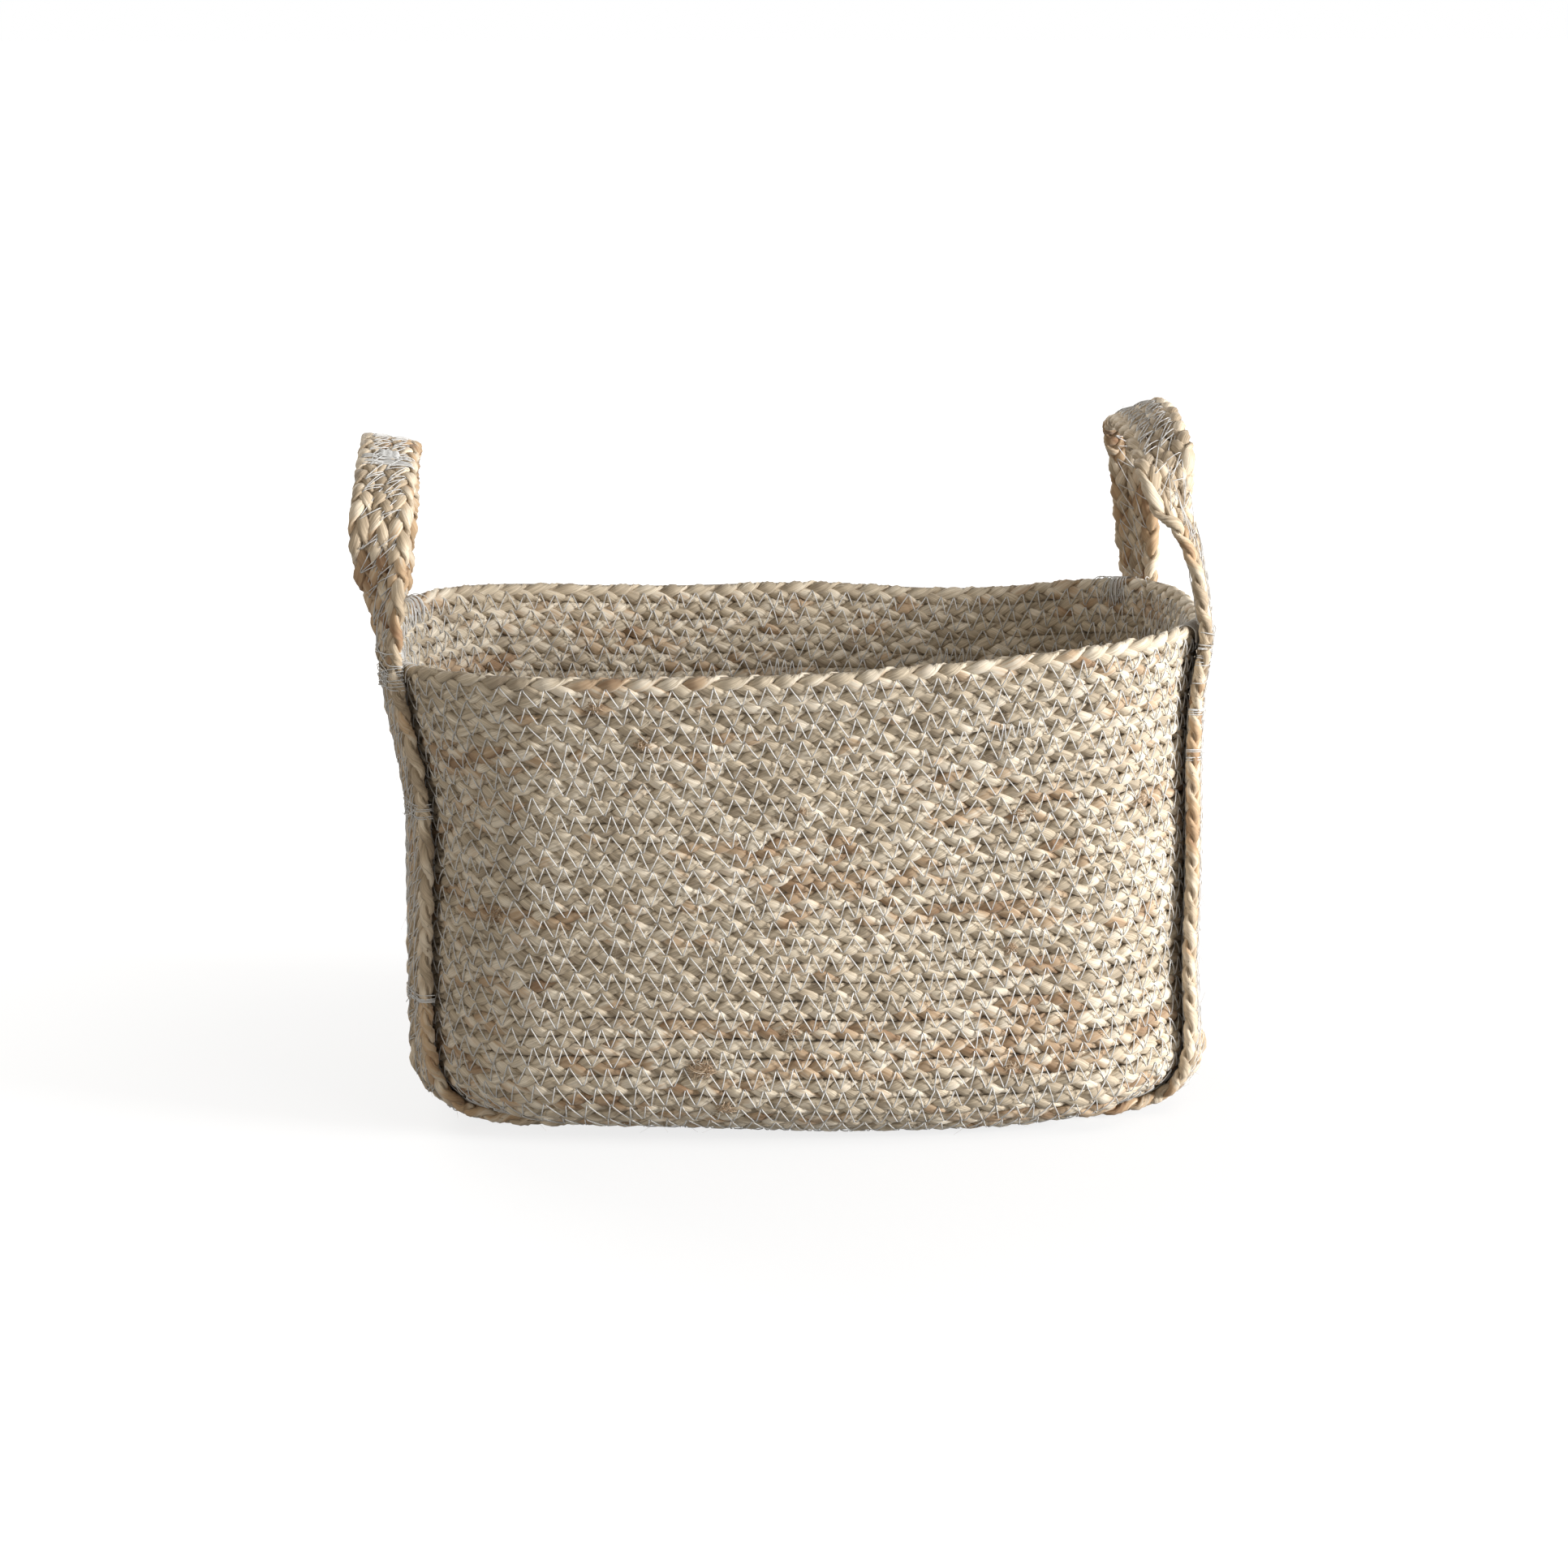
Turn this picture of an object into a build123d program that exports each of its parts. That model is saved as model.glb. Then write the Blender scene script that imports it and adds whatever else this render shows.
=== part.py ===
from build123d import *
from math import atan2, cos, degrees, hypot, pi, radians, sin, sqrt
import os

# Storage basket sewn from one long three-strand braid, with two braided carrying straps.
# Frame: X runs along the basket, Y across it, Z up.  The origin is under the middle of the
# basket, on the surface that it stands on.  All sizes are in millimetres.

# --- driving dimensions ---------------------------------------------------------------
RIM_LENGTH = 380.0          # outside of the rim, along X
RIM_DEPTH = 252.0           # outside of the rim, along Y
RIM_CORNER = 83.0           # plan radius of the rim's corners
RIM_SIDE = 708.0            # plan radius of the bowed long sides of the rim
RIM_END = 308.0             # plan radius of the bowed short ends of the rim
FLARE = 8.0                 # how far the rim stands out from the straight part of the wall
FLARE_START = 132.0         # height where the wall begins to lean out
BRAID_WIDTH = 8.2           # one row of the body
BRAID_THICK = 6.5           # thickness of wall, base and straps
ROW_EDGE = 1.3              # bevel along the edges of every row
BASE_TURNS = 11             # turns of braid in the flat base
EDGE_ROWS = 5               # rows that turn the base up into the wall
WALL_ROWS = 22              # rows of the wall, the last one is the rim

STRAP_BRAIDS = 3            # braids side by side in a strap
STRAP_PITCH = 9.5           # width of one strap braid
STRAP_PLACE = 65.0          # distance of a strap's middle from the basket's long axis
STRAP_CORNER = 27.5         # bend of a strap round the bottom edge, at its middle
STRAP_BEND = 60.0           # bend of a strap where the wall begins to lean out

HANDLE_ROUND = 7.0          # diameter of one handle braid
HANDLE_RISE = 95.0          # from the rim to the top of a handle
HANDLE_SHOULDER = 36.0      # bend between a handle's leg and its top
TWIST_START = 19.0          # height above the hinge where the legs begin to turn
TWIST_END = 46.0            # height above the hinge where the legs face front and back
TWIST_BEND = 14.0           # bend of a braid within the turn
LEFT_LEAN = 0.0             # degrees that the handle leans towards the middle at rest
RIGHT_LEAN = 17.0
HINGE_GAP = 0.9             # air between a strap's top and the handle that hinges on it
OUTWARD_BEVEL = 35.0        # degrees cut from a strap's top so that the handle can fall out

THREAD = 0.8                # thickness of a thread tie, which is a few turns side by side
TIE_HEIGHT = 3.2
TIE_GAP = 0.4               # air between a tie and the braids that it holds
TIE_LEVELS = (70.0, 150.0)  # heights of the ties that hold the straps to the wall
TACK_BELOW_RIM = 5.0        # middle of the rim tacks, below the rim's top

# --- worked out from them --------------------------------------------------------------
HALF = BRAID_THICK / 2
EDGE_BEND = EDGE_ROWS * BRAID_WIDTH * 2 / pi        # bend of the bottom edge, at mid-thickness
BASE_LEVEL = BRAID_THICK + HALF                     # the base lies on the two straps
WALL_START = BASE_LEVEL + EDGE_BEND
RIM_TOP = WALL_START + WALL_ROWS * BRAID_WIDTH
EDGE_INSET = FLARE + HALF + EDGE_BEND                # from the rim's outside to the base's edge
BASE_HALF_LENGTH = RIM_LENGTH / 2 - EDGE_INSET
BASE_HALF_DEPTH = RIM_DEPTH / 2 - EDGE_INSET
BASE_CORNER = RIM_CORNER - EDGE_INSET
BASE_SIDE = RIM_SIDE - EDGE_INSET
BASE_END = RIM_END - EDGE_INSET
BASE_PITCH = BASE_HALF_DEPTH / BASE_TURNS
HINGE_LEVEL = RIM_TOP + HANDLE_ROUND / 2 + 1.0


def flare_at(height):
    """How far the wall has leaned out at a height."""
    part = max(0.0, (height - FLARE_START) / (RIM_TOP - FLARE_START))
    return FLARE * part ** 2


# --- the plan: an oval of eight arcs ----------------------------------------------------
def corner_centre(half_x, half_y, corner, side, end):
    """Centre of the corner arc that runs smoothly into the side arc and the end arc."""
    side_y = half_y - side
    end_x = half_x - end
    to_side = side - corner
    to_end = end - corner
    apart = hypot(end_x, side_y)
    along = (to_side ** 2 - to_end ** 2 + apart ** 2) / (2 * apart)
    aside = sqrt(to_side ** 2 - along ** 2)
    toward_x = end_x / apart
    toward_y = -side_y / apart
    return along * toward_x + aside * toward_y, side_y + along * toward_y - aside * toward_x


def plan_path(half_x, half_y, corner, side, end):
    """Closed oval at height zero, starting where it crosses the X axis."""
    centre_x, centre_y = corner_centre(half_x, half_y, corner, side, end)
    side_y = half_y - side
    end_x = half_x - end
    low = degrees(atan2(centre_y, centre_x - end_x))
    high = degrees(atan2(centre_y - side_y, centre_x))
    turn = high - low
    return Wire([CenterArc((end_x, 0), end, 0, low),
                 CenterArc((centre_x, centre_y), corner, low, turn),
                 CenterArc((0, side_y), side, high, 180 - 2 * high),
                 CenterArc((-centre_x, centre_y), corner, 180 - high, turn),
                 CenterArc((-end_x, 0), end, 180 - low, 2 * low),
                 CenterArc((-centre_x, -centre_y), corner, 180 + low, turn),
                 CenterArc((0, -side_y), side, 180 + high, 180 - 2 * high),
                 CenterArc((centre_x, -centre_y), corner, 360 - high, turn),
                 CenterArc((end_x, 0), end, -low, low)])


def rim_inset_path(inset):
    """The plan at a distance inside the rim's outside."""
    return plan_path(RIM_LENGTH / 2 - inset, RIM_DEPTH / 2 - inset, RIM_CORNER - inset,
                     RIM_SIDE - inset, RIM_END - inset)


def wall_reach(across, height):
    """Outer X of the wall at a distance from the long axis."""
    inset = FLARE - flare_at(height)
    centre_x, centre_y = corner_centre(RIM_LENGTH / 2, RIM_DEPTH / 2, RIM_CORNER, RIM_SIDE, RIM_END)
    on_corner = centre_x + sqrt((RIM_CORNER - inset) ** 2 - max(0.0, across - centre_y) ** 2)
    on_end = RIM_LENGTH / 2 - RIM_END + sqrt((RIM_END - inset) ** 2 - across ** 2)
    return min(on_corner, on_end)


# --- the body: one braid sewn round and round -------------------------------------------
def row_section(low_inner, low_outer, high_outer, high_inner):
    """Bevelled four-sided section of one row; each argument is a point (radius, height)."""
    corners = [low_inner, low_outer, high_outer, high_inner]
    outline = []
    for place, corner in enumerate(corners):
        before = Vector(*corners[place - 1], 0)
        after = Vector(*corners[(place + 1) % 4], 0)
        here = Vector(*corner, 0)
        outline.append(here + (before - here).normalized() * ROW_EDGE)
        outline.append(here + (after - here).normalized() * ROW_EDGE)
    return [(point.X, point.Y) for point in outline]


def sweep_row(outline, path, reach):
    """Closed ring of a section drawn at (distance outside the path, height)."""
    face = Plane.XZ * make_face(Polyline([(reach + x, z) for x, z in outline], close=True))
    return sweep(face, path=path)


def base_path(middle_y, corner):
    """The oval of the base at a distance from the long axis."""
    inset = BASE_HALF_DEPTH - middle_y
    return plan_path(BASE_HALF_LENGTH - inset, middle_y, corner, BASE_SIDE - inset, BASE_END - inset)


def base_turn(number):
    """One flat turn of the base, counted from the middle, where the braid is doubled back."""
    low = BASE_LEVEL - HALF
    high = BASE_LEVEL + HALF
    half_width = BASE_PITCH / 2
    if number == 1:
        corner = base_corner(1.5 * BASE_PITCH) - half_width
        block = extrude(Plane.XY.offset(low) * make_face(base_path(BASE_PITCH, corner)), BRAID_THICK)
        edges = block.edges().group_by(Axis.Z)
        return chamfer(edges[0] + edges[-1], ROW_EDGE)
    middle_y = (number - 0.5) * BASE_PITCH
    outline = row_section((-half_width, low), (half_width, low), (half_width, high), (-half_width, high))
    path = base_path(middle_y, base_corner(middle_y))
    return sweep_row(outline, path, BASE_HALF_LENGTH - BASE_HALF_DEPTH + middle_y)


def base_corner(middle_y):
    """Plan radius of the corners, which tighten towards the middle of the base."""
    return BASE_CORNER * middle_y / BASE_HALF_DEPTH


def shell_line(place):
    """Inner and outer point of the shell at a distance, in rows, from the flat base.

    Each point is (distance outside the base's edge, height)."""
    if place <= EDGE_ROWS:
        angle = place / EDGE_ROWS * pi / 2
        inner_bend = EDGE_BEND - HALF
        outer_bend = EDGE_BEND + HALF
        inner = (inner_bend * sin(angle), WALL_START - inner_bend * cos(angle))
        outer = (outer_bend * sin(angle), WALL_START - outer_bend * cos(angle))
        return inner, outer
    height = WALL_START + (place - EDGE_ROWS) * BRAID_WIDTH
    reach = EDGE_BEND + flare_at(height)
    return (reach - HALF, height), (reach + HALF, height)


def shell_row(number):
    """One row of the edge, the wall or the rim, counted from the flat base."""
    low_inner, low_outer = shell_line(number - 1)
    high_inner, high_outer = shell_line(number)
    outline = row_section(low_inner, low_outer, high_outer, high_inner)
    return sweep_row(outline, rim_inset_path(EDGE_INSET), BASE_HALF_LENGTH)


# --- the straps --------------------------------------------------------------------------
def strap_offset(braid):
    """Distance of a strap braid from the strap's middle; braid 0 is nearest the long axis."""
    return (braid - (STRAP_BRAIDS - 1) / 2) * STRAP_PITCH


def hinge_reach():
    """X of the handle hinges: the middle of the straps' thickness at the rim."""
    nearest = STRAP_PLACE - STRAP_BRAIDS * STRAP_PITCH / 2
    return wall_reach(nearest, RIM_TOP) + HALF + 0.1


def strap_braid(side, braid):
    """One braid of a strap: down one end, under the base and up the other end."""
    across = STRAP_PLACE + strap_offset(braid)
    nearest = across - STRAP_PITCH / 2
    wall = wall_reach(nearest, FLARE_START) + HALF
    top = HINGE_LEVEL - HANDLE_ROUND / 2 - HINGE_GAP
    right_side = [(hinge_reach(), top), (wall, FLARE_START), (wall, HALF)]
    left_side = [(-x, z) for x, z in reversed(right_side)]
    points = [(x, side * across, z) for x, z in right_side + left_side]
    path = FilletPolyline(*points, radius=[STRAP_BEND, STRAP_CORNER, STRAP_CORNER, STRAP_BEND])
    start = path.location_at(0)
    plane = Plane(origin=start.position, x_dir=(0, 1, 0), z_dir=path.tangent_at(0))
    section = plane * chamfer(Rectangle(STRAP_PITCH, BRAID_THICK).vertices(), ROW_EDGE)
    body = sweep(section, path=path)
    for end in (-1, 1):
        body -= outward_bevel(end, top)
    return body


def outward_bevel(end, top):
    """Wedge above a strap's top, outside its middle, where the falling handle passes."""
    block = Box(40, 400, 40, align=(Align.MIN, Align.CENTER, Align.MIN))
    wedge = Pos(hinge_reach() - HALF / 2, 0, top) * Rot(0, OUTWARD_BEVEL, 0) * block
    return wedge if end > 0 else mirror(wedge, about=Plane.YZ)


# --- the handles ---------------------------------------------------------------------------
def handle_point(offset, turn, leg, height, lean):
    """A point of a handle braid on one leg, from its height above the hinge.

    The braid's offset lies along the rim at turn 0 and along X at turn 90."""
    inward = abs(offset) * sin(radians(turn)) * (1 if offset > 0 else -1)
    outer = offset * cos(radians(turn))
    return (hinge_reach() - inward - height * sin(lean),
            leg * (STRAP_PLACE + outer),
            HINGE_LEVEL + height * cos(lean) - inward * sin(lean))


def handle_braid(end, braid):
    """One braid of a handle: up from the front strap, over and down to the rear strap."""
    lean = radians(LEFT_LEAN if end < 0 else RIGHT_LEAN)
    offset = strap_offset(braid)
    height = HANDLE_RISE - HANDLE_ROUND - 1.0
    stops = [(0, 0.0), (90, height)]
    if offset != 0:
        middle = (TWIST_START + TWIST_END) / 2
        stops = [(0, 0.0), (0, TWIST_START), (45, middle), (90, TWIST_END), (90, height)]
    front = [handle_point(offset, turn, -1, rise, lean) for turn, rise in stops]
    back = [(x, -y, z) for x, y, z in reversed(front)]
    bends = [TWIST_BEND] * (len(stops) - 2) + [HANDLE_SHOULDER]
    points = [(end * x, y, z) for x, y, z in front + back]
    path = FilletPolyline(*points, radius=bends + bends[::-1])
    start = Plane(origin=path @ 0, z_dir=path % 0)
    body = sweep(start * Circle(HANDLE_ROUND / 2), path=path)
    for place in (0, 1):
        body += Pos(*(path @ place)) * Sphere(HANDLE_ROUND / 2)
    return body


# --- the threads that tie the straps on ------------------------------------------------------
def strap_face(braid, level):
    """Outer X of a strap braid at a height."""
    nearest = STRAP_PLACE + strap_offset(braid) - STRAP_PITCH / 2
    straight = wall_reach(nearest, FLARE_START) + HALF
    part = max(0.0, (level - FLARE_START) / (HINGE_LEVEL - HANDLE_ROUND / 2 - FLARE_START))
    return straight + (hinge_reach() - straight) * part + HALF


def thread_tie(end, side, level):
    """A few turns of thread across a strap, with both ends at the wall."""
    top = level + TIE_HEIGHT / 2
    near = STRAP_PLACE - STRAP_BRAIDS * STRAP_PITCH / 2
    far = STRAP_PLACE + STRAP_BRAIDS * STRAP_PITCH / 2
    inside = wall_reach(far, 0) - BRAID_THICK
    corners = [(inside, near), (strap_face(0, top), near)]
    for braid in range(STRAP_BRAIDS):
        corners.append((strap_face(braid, top), near + (braid + 1) * STRAP_PITCH))
    corners.append((inside, far))
    strap_plan = make_face(Polyline(corners, close=True))
    wall_plan = make_face(rim_inset_path(FLARE - flare_at(top) - TIE_GAP))
    sharp = Kind.INTERSECTION
    band = offset(strap_plan, TIE_GAP + THREAD, kind=sharp) - offset(strap_plan, TIE_GAP, kind=sharp)
    tie = Pos(0, 0, level - TIE_HEIGHT / 2) * extrude(band - wall_plan, TIE_HEIGHT)
    if end < 0:
        tie = mirror(tie, about=Plane.YZ)
    if side < 0:
        tie = mirror(tie, about=Plane.XZ)
    return tie


def tie_group(levels):
    """The same tie at every crossing of a strap and a level."""
    ties = [thread_tie(end, side, level) for level in levels for end in (-1, 1) for side in (-1, 1)]
    return Compound(children=ties)


# --- write every node ---------------------------------------------------------------------------
def build():
    nodes = {}
    for number in range(1, BASE_TURNS + 1):
        nodes[f"base_turn_{number:02d}"] = base_turn(number)
    for number in range(1, EDGE_ROWS + 1):
        nodes[f"edge_row_{number:02d}"] = shell_row(number)
    for number in range(1, WALL_ROWS):
        nodes[f"wall_row_{number:02d}"] = shell_row(EDGE_ROWS + number)
    nodes["rim_braid"] = shell_row(EDGE_ROWS + WALL_ROWS)
    for braid, place in enumerate(("inner", "middle", "outer")):
        nodes[f"front_strap_{place}_braid"] = strap_braid(-1, braid)
        nodes[f"rear_strap_{place}_braid"] = strap_braid(1, braid)
        nodes[f"left_handle_{place}_braid"] = handle_braid(-1, braid)
        nodes[f"right_handle_{place}_braid"] = handle_braid(1, braid)
    nodes["rim_tack_threads"] = tie_group([RIM_TOP - TACK_BELOW_RIM])
    nodes["strap_tie_threads"] = tie_group(TIE_LEVELS)
    os.makedirs("parts", exist_ok=True)
    for name, shape in nodes.items():
        export_step(shape, f"parts/{name}.step")
    print("nodes", len(nodes), "rim top", round(RIM_TOP, 2), "hinge", round(hinge_reach(), 2),
          round(HINGE_LEVEL, 2), "base pitch", round(BASE_PITCH, 3))


build()
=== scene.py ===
import math

import bpy
import numpy as np
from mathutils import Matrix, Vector


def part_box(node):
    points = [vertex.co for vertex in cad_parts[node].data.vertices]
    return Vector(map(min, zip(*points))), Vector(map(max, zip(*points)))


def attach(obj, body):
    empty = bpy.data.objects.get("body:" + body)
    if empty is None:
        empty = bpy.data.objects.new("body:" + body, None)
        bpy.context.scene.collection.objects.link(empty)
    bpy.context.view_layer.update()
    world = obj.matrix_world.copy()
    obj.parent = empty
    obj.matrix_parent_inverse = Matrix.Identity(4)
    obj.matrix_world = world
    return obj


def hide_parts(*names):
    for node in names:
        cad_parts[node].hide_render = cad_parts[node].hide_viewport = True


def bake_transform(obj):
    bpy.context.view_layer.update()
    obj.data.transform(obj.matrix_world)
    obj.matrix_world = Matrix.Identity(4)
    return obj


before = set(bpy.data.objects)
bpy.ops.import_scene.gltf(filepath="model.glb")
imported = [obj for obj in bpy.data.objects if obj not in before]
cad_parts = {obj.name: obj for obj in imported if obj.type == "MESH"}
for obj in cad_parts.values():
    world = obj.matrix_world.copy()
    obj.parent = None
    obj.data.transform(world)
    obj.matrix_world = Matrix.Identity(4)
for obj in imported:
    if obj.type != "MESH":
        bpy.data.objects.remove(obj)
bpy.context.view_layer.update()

# ---------------------------------------------------------------------------------------
# Sizes, in metres.  Those of the shell are read from the frame.
# ---------------------------------------------------------------------------------------
ROW_NODES = sorted(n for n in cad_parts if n.startswith("wall_row")) + ["rim_braid"]
EDGE_NODES = sorted(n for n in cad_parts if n.startswith("edge_row"))
BASE_NODES = sorted(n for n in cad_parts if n.startswith("base_turn"))

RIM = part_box("rim_braid")[1]                   # half length, half depth and top of the rim
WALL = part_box(ROW_NODES[0])                    # lowest row of the upright wall
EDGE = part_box(BASE_NODES[-1])                  # outermost turn of the flat base
ROW = WALL[1].z - WALL[0].z                    # pitch of the rows
THICK = EDGE[1].z - EDGE[0].z                  # thickness of a braid
BASE_PITCH = EDGE[1].y / len(BASE_NODES)
BASE_MIDDLE = (EDGE[0].z + EDGE[1].z) / 2
EDGE_BEND = WALL[0].z - BASE_MIDDLE
FLARE = RIM.x - WALL[1].x
FLARE_START = 0.132
RIM_CORNER, RIM_SIDE, RIM_END = 0.083, 0.708, 0.308     # the CAD plan's three radii at the rim
EDGE_INSET = RIM.x - EDGE[1].x

STRAP_PITCH = 0.0088
STRAP_PLACE = 0.065

THREAD = 0.00028                               # radius of the sewing thread
STITCH = 0.0082                                # length of one zigzag along the seam
LOBES = 0.038                                  # length of braid in which a strand comes back
STRAP_LOBES = 0.036
STREAK_RADIUS = 0.0022                         # how far apart the streaks round a strand are
BODY_TAN, LOW_PAINTED_WARMTH, STRAP_TAN = 0.2, 0.13, 0.3  # share of tan fibre, and extra tan near the base: painted warm light
# dark tone of the filling core: painted shade in the gaps between the strands
FILLING_PAINTED_SHADE_TONE = 0.12
BAND_STITCH = 0.0125                           # length of one zigzag along the straps
STREAKS, RELIEF = 0.5, 0.5                     # depth of the fibre's streaks in colour and in shape

STEP = 0.0022        # distance between rings along a strand
SIDES = 8
THREAD_SIDES = 5
HAIRS_PER_METRE = 120
FLOOR_ROOM = 0.0003                            # a hair that comes nearer the floor is left out

# Where bundles of fibre were knotted in on the front: (along X, height, size).
KNOTS = ((-0.0967, 0.2040, 0.9), (-0.0775, 0.1908, 0.8), (-0.0060, 0.1548, 0.6), (-0.1400, 0.1068, 0.9),
         (-0.0127, 0.0542, 0.9), (-0.0515, 0.0347, 1.4), (-0.0401, 0.0220, 1.0), (0.0859, 0.0866, 0.8),
         (0.0884, 0.1516, 0.7), (0.1440, 0.1480, 0.8), (0.0859, 0.0336, 0.7))

# Heights of the thread turns on each leg of the straps: (left or right, front or rear).
RIM_TACKS = {(-1, -1): (0.211,), (-1, 1): (0.213,), (1, -1): (0.216,), (1, 1): (0.216,)}
STRAP_TIES = {(-1, -1): (0.1465, 0.062), (-1, 1): (0.150, 0.070), (1, -1): (0.190, 0.1700),
              (1, 1): (0.150, 0.070)}
JOIN_LEVEL = 0.2985

CAMERA_TURN, CAMERA_RISE, CAMERA_AWAY = -3.4, 11.4, 1.876
CAMERA_AIM = Vector((-0.0078, 0.0, 0.1428))
CAMERA_VIEW = 22.07                            # degrees across the picture


# ---------------------------------------------------------------------------------------
# Small tools
# ---------------------------------------------------------------------------------------
def unit(v):
    return v / np.maximum(np.linalg.norm(v, axis=-1, keepdims=True), 1e-12)


def smooth_step(x, low, high):
    t = np.clip((x - low) / (high - low), 0, 1)
    return t * t * (3 - 2 * t)


def wander(rng, t, waves, closed=True):
    """Smooth random curve of about unit size over t from 0 to 1, with so many waves."""
    total = np.zeros_like(t)
    for scale, size in ((1.0, 0.7), (2.3, 0.5), (4.1, 0.35)):
        turns = waves * scale * rng.uniform(0.8, 1.2)
        if closed:
            turns = max(1, round(turns))
        total += size * np.sin(2 * np.pi * (turns * t + rng.random()))
    return total


def patches(rng, length, size, closed=True):
    """Function of distance along a strand that wanders between random values, size apart."""
    count = max(3, int(round(length / size)))
    values = rng.random(count + (0 if closed else 1))

    def at(s):
        place = np.clip(s / length, 0, 1) * count
        low = np.floor(place).astype(int)
        part = place - low
        part = part * part * (3 - 2 * part)
        a = values[low % count] if closed else values[np.minimum(low, count)]
        b = values[(low + 1) % count] if closed else values[np.minimum(low + 1, count)]
        return a * (1 - part) + b * part
    return at


# ---------------------------------------------------------------------------------------
# The plan and the shell
# ---------------------------------------------------------------------------------------
def corner_centre(half_x, half_y, corner, side, end):
    side_y, end_x = half_y - side, half_x - end
    to_side, to_end = side - corner, end - corner
    apart = math.hypot(end_x, side_y)
    along = (to_side ** 2 - to_end ** 2 + apart ** 2) / (2 * apart)
    aside = math.sqrt(to_side ** 2 - along ** 2)
    toward_x, toward_y = end_x / apart, -side_y / apart
    return along * toward_x + aside * toward_y, side_y + along * toward_y - aside * toward_x


def oval(half_x, half_y, corner, side, end, step):
    """Points and outward normals of the plan, evenly spaced, and its length."""
    cx, cy = corner_centre(half_x, half_y, corner, side, end)
    low = math.atan2(cy, cx - (half_x - end))
    high = math.atan2(cy - (half_y - side), cx)
    quarter = [((half_x - end, 0), end, 0, low), ((cx, cy), corner, low, high),
               ((0, half_y - side), side, high, math.pi / 2)]
    arcs = []
    for turn in range(4):
        pieces = quarter if turn % 2 == 0 else quarter[::-1]
        for (ox, oy), radius, start, stop in pieces:
            if turn == 1:
                ox, start, stop = -ox, math.pi - stop, math.pi - start
            elif turn == 2:
                ox, oy, start, stop = -ox, -oy, math.pi + start, math.pi + stop
            elif turn == 3:
                oy, start, stop = -oy, 2 * math.pi - stop, 2 * math.pi - start
            arcs.append((ox, oy, radius, start, stop))
    lengths = np.array([radius * (stop - start) for _, _, radius, start, stop in arcs])
    ends = np.cumsum(lengths)
    count = int(round(ends[-1] / step))
    s = np.arange(count) / count * ends[-1]
    which = np.minimum(np.searchsorted(ends, s, side="right"), len(arcs) - 1)
    table = np.array(arcs)[which]
    angle = table[:, 3] + (s - (ends[which] - lengths[which])) / table[:, 2]
    normal = np.stack([np.cos(angle), np.sin(angle)], 1)
    return table[:, :2] + normal * table[:, 2:3], normal, ends[-1]


def flare_at(z):
    return FLARE * np.maximum(0, (z - FLARE_START) / (RIM.z - FLARE_START)) ** 2


def wall_point(across, z, outside):
    """Point outside the wall's face at a distance from the long axis, and the plan's normal there."""
    inset = FLARE - flare_at(z)
    cx, cy = corner_centre(RIM.x, RIM.y, RIM_CORNER, RIM_SIDE, RIM_END)
    radius = RIM_CORNER - inset
    rise = (abs(across) - cy) / radius
    normal = np.array([math.sqrt(1 - rise * rise), math.copysign(rise, across), 0.0])
    point = np.array([cx, math.copysign(cy, across), z]) + normal * (radius + outside)
    point[2] = z
    return point, normal


def around_gap(angle, middle):
    """Turn in radians between the direction from the middle of the basket and another one."""
    return np.abs((angle - math.radians(middle) + np.pi) % (2 * np.pi) - np.pi)


def hump(angle, middle, wide):
    """Smooth rise to 1 where the direction is near a middle, both in degrees, and 0 away from it."""
    return np.exp(-(around_gap(angle, middle) / math.radians(wide)) ** 2)


def rim_wave(angle):
    """How much higher the rim stands than in CAD, by direction from the middle."""
    wave = 0.0037 + 0.0035 * np.cos(2 * angle) + 0.0043 * np.cos(angle)
    wave = wave + 0.0022 * hump(angle, -45, 25) - 0.0060 * hump(angle, -158, 16)
    wave = wave - 0.0028 * hump(angle, -125, 20) - 0.0034 * hump(angle, 168, 16)
    wave = wave + 0.0034 * hump(angle, 65, 50) + 0.0065 * hump(angle, 135, 24)
    return wave - 0.0068 * hump(angle, 62, 20)


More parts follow.
